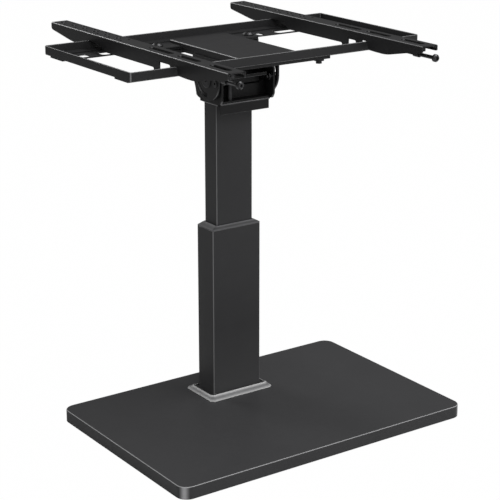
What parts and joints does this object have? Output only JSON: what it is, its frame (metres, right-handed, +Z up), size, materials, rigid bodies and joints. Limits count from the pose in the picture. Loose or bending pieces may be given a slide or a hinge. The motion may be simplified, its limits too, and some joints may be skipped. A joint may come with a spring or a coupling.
{
  "type": "tabletop tv stand",
  "caption": "Free-standing screen stand: flat base, lifting rectangular column and tilting head with a tray and hook-on arms.",
  "frame": {"origin": "on the ground under the middle of the column", "axes": "+X along the base's long side to the right, -Y towards the front edge of the base, +Z up"},
  "size_m": [0.467, 0.4493, 0.536],
  "materials": {
    "base_paint": "fine-textured semi-matt black powder coat",
    "column_paint": "semi-matt black powder coat",
    "head_paint": "semi-matt black powder coat",
    "tray_paint": "semi-matt black powder coat, bright worn bends",
    "arm_paint": "semi-matt black powder coat",
    "collar_paint": "satin dark grey",
    "bush_plastic": "moulded dark grey, satin",
    "glide_plastic": "moulded black",
    "knob_plastic": "moulded black, fine grain",
    "pad_rubber": "matt black rubber",
    "friction_fibre": "pressed fibre",
    "inner_steel": "primed grey",
    "zinc_steel": "bright zinc",
    "dark_zinc": "black zinc"
  },
  "bodies": {
    "base": {"base_shell": "base_paint", "base_doubler": "inner_steel", "base_stiffeners": "inner_steel", "cover_bosses": "inner_steel", "base_cover": "base_paint", "cover_screws": "zinc_steel", "base_pads": "pad_rubber", "column_outer": "column_paint", "column_foot": "inner_steel", "foot_washers": "zinc_steel", "foot_bolts": "zinc_steel", "column_collar": "collar_paint", "guide_bush": "bush_plastic", "height_boss": "column_paint"},
    "height_clamp": {"height_stem": "zinc_steel", "height_knob": "knob_plastic"},
    "upper": {"column_inner": "column_paint", "inner_glide": "glide_plastic", "column_cap": "inner_steel", "yoke": "head_paint", "yoke_bolts": "zinc_steel", "cross_channel": "head_paint", "channel_bolt": "dark_zinc", "friction_washers": "friction_fibre", "pivot_bolts": "dark_zinc", "pivot_washers": "dark_zinc", "pivot_nuts": "dark_zinc", "clamp_bolts": "dark_zinc", "clamp_washers": "dark_zinc", "clamp_nuts": "dark_zinc"},
    "tilt": {"bridge": "head_paint", "bridge_spacers": "head_paint", "side_plate_left": "head_paint", "side_plate_right": "head_paint", "bar_front": "head_paint", "bar_rear": "head_paint", "tray": "tray_paint", "tray_bolts": "dark_zinc", "tray_nuts": "dark_zinc"},
    "left_arm": {"arm_left": "arm_paint", "nut_block_left": "dark_zinc"},
    "right_arm": {"arm_right": "arm_paint", "nut_block_right": "dark_zinc"},
    "left_screw": {"safety_screw_left": "dark_zinc"},
    "right_screw": {"safety_screw_right": "dark_zinc"}
  },
  "joints": [
    {"name": "height", "type": "slide", "parent": "base", "child": "upper", "axis": [0, 0, 1], "range_m": [-0.13, 0.02]},
    {"name": "height_clamp_turn", "type": "hinge", "parent": "base", "child": "height_clamp", "pos_m": [0, 0.03, 0.245], "axis": [0, 1, 0], "range_deg": [0, 360]},
    {"name": "tilt", "type": "hinge", "parent": "upper", "child": "tilt", "pos_m": [0, -0.022, 0.478], "axis": [1, 0, 0], "range_deg": [0, 90]},
    {"name": "left_arm_slide", "type": "slide", "parent": "tilt", "child": "left_arm", "axis": [1, 0, 0], "range_m": [-0.05, 0.05]},
    {"name": "right_arm_slide", "type": "slide", "parent": "tilt", "child": "right_arm", "axis": [1, 0, 0], "range_m": [-0.05, 0.05]},
    {"name": "left_screw_travel", "type": "slide", "parent": "left_arm", "child": "left_screw", "axis": [0, 1, 0], "range_m": [-0.012, 0]},
    {"name": "right_screw_travel", "type": "slide", "parent": "right_arm", "child": "right_screw", "axis": [0, 1, 0], "range_m": [-0.007, 0.005]}
  ]
}
